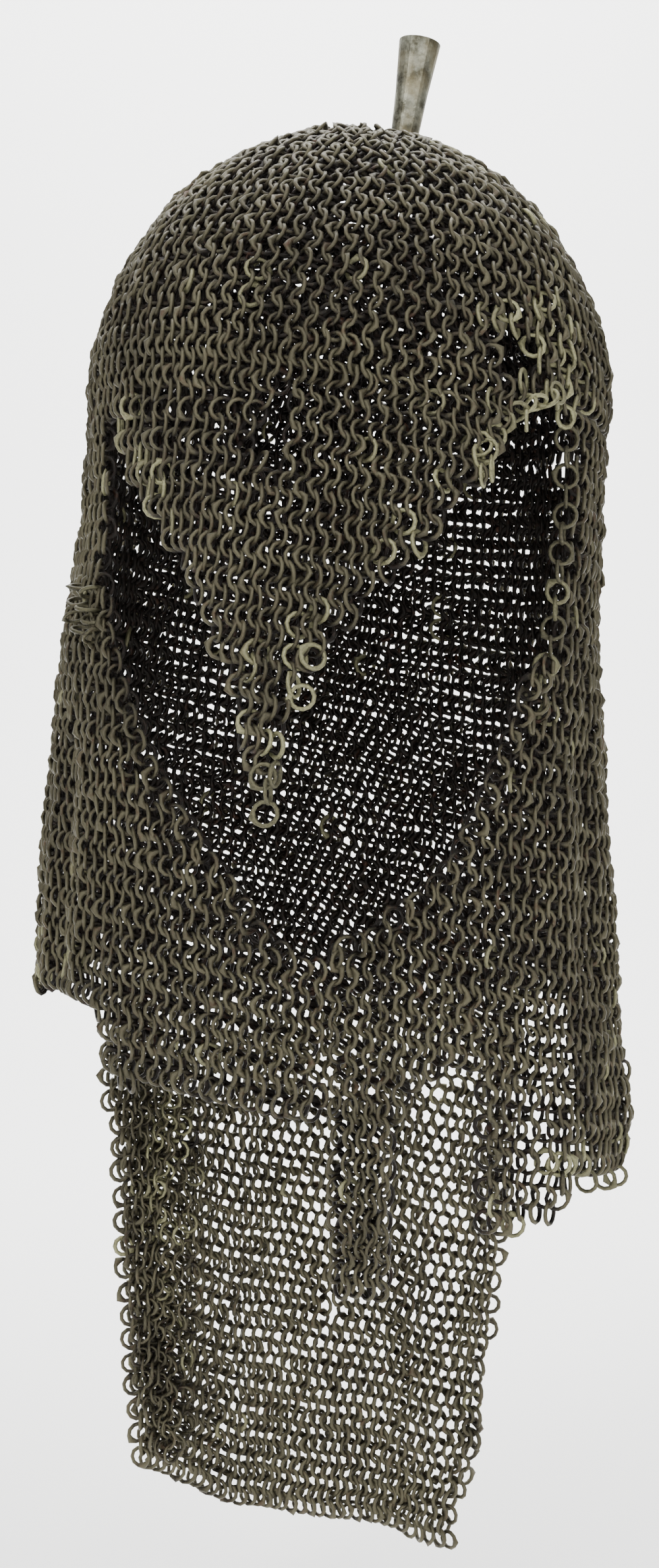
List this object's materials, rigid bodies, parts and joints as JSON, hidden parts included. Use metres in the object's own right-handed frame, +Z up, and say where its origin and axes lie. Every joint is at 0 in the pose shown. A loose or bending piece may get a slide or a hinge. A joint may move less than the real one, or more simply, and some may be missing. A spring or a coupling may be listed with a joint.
{
  "type": "mail coif",
  "caption": "Hood of linked iron rings with a hanging brow flap, face opening, chin strip, long neck guard behind and a small flared tube on top.",
  "frame": {"origin": "inner apex of the crown, where the coif rests on the top of the head", "axes": "+Z up, the face opening looks along -Y, +X is the viewer's right when the face is seen from the front"},
  "size_m": [0.191, 0.2202, 0.527],
  "materials": {
    "mail": "dark brown, tarnished and dusty iron",
    "repair_ring": "paler, straw-tinted iron",
    "tube": "dull mottled grey metal"
  },
  "bodies": {
    "root": {"crown": "mail", "face_flap": "mail", "left_side": "mail", "right_side": "mail", "right_lappet": "mail", "chin_tongue": "mail", "nape": "mail", "back_panel": "mail", "panel_fold": "mail", "plume_tube": "tube", "flap_tip_ring": "repair_ring", "flap_edge_ring": "repair_ring"}
  },
  "joints": []
}
